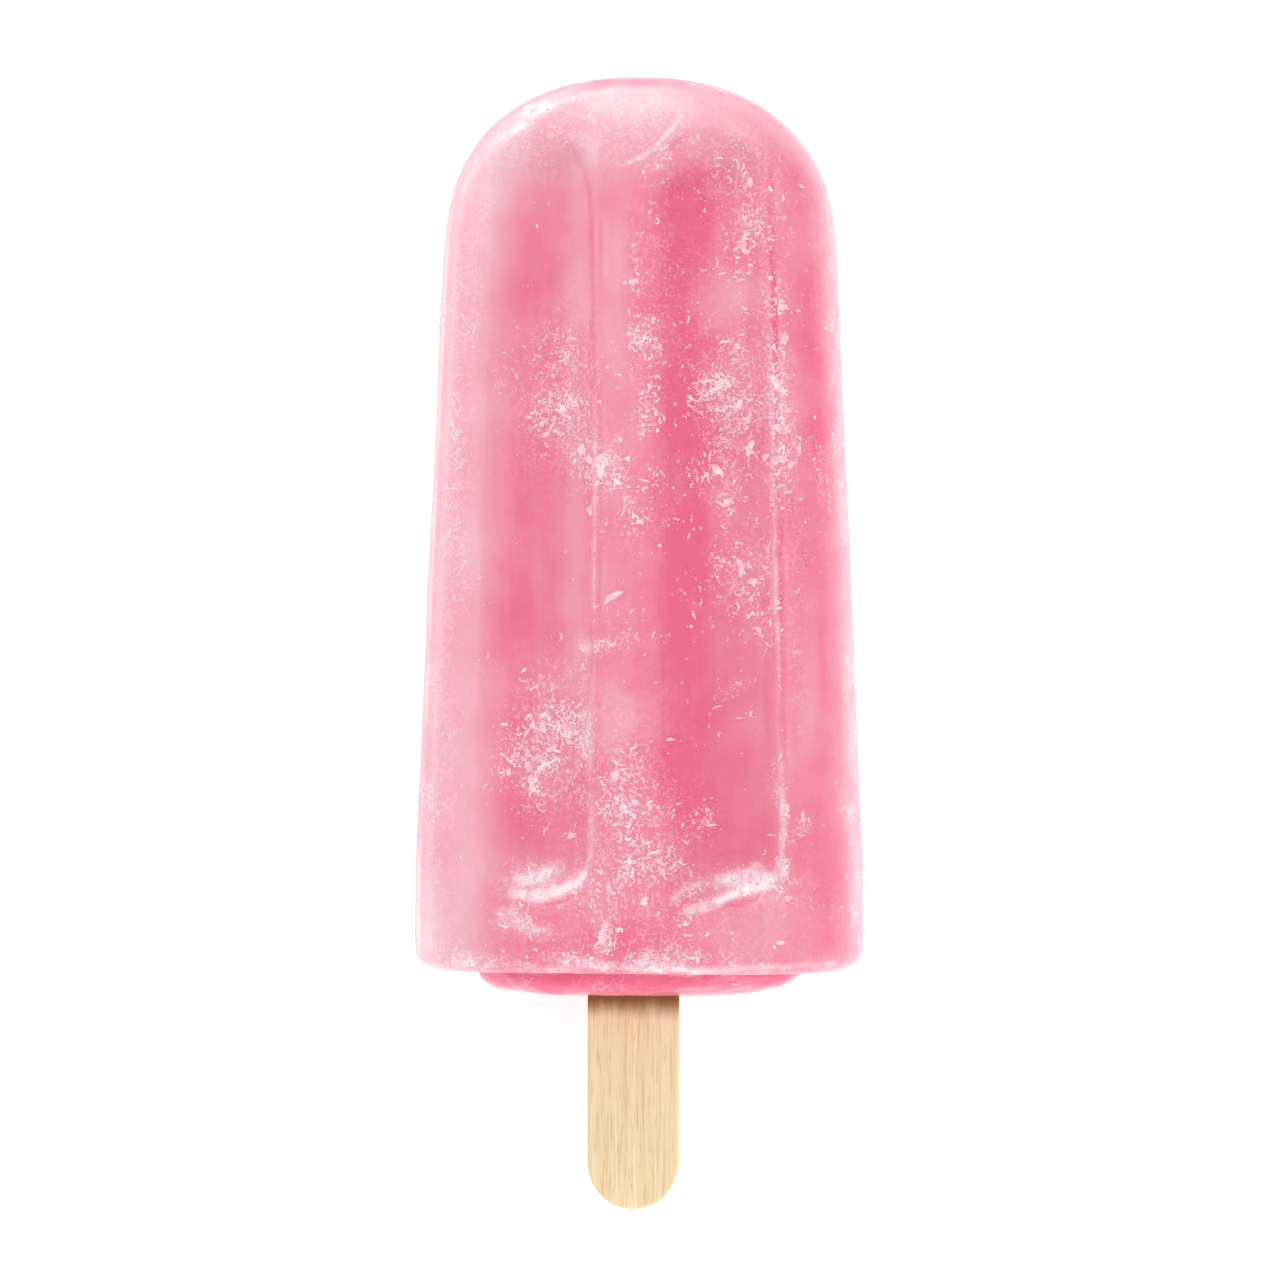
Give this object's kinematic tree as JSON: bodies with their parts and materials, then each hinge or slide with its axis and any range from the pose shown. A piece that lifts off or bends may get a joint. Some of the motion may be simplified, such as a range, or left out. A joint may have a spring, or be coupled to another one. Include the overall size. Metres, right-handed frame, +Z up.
{
  "type": "ice pop",
  "caption": "Frosted pink fruit ice bar with a rounded head, long flutes on both faces and a lip at its base, on a flat round-ended wooden stick.",
  "frame": {"origin": "centre of the footprint, on the surface that the pop lies on", "axes": "+Y along the pop towards the rounded head of the ice, the stick towards -Y; +X across it; +Z up, out of the shown front face"},
  "size_m": [0.049, 0.124, 0.0239],
  "materials": {
    "fruit_ice": "cloudy pink frozen juice, moist gloss under white frost",
    "birch_wood": "plain pale wood, fine straight grain, unvarnished"
  },
  "bodies": {
    "root": {"ice": "fruit_ice", "stick": "birch_wood"}
  },
  "joints": []
}
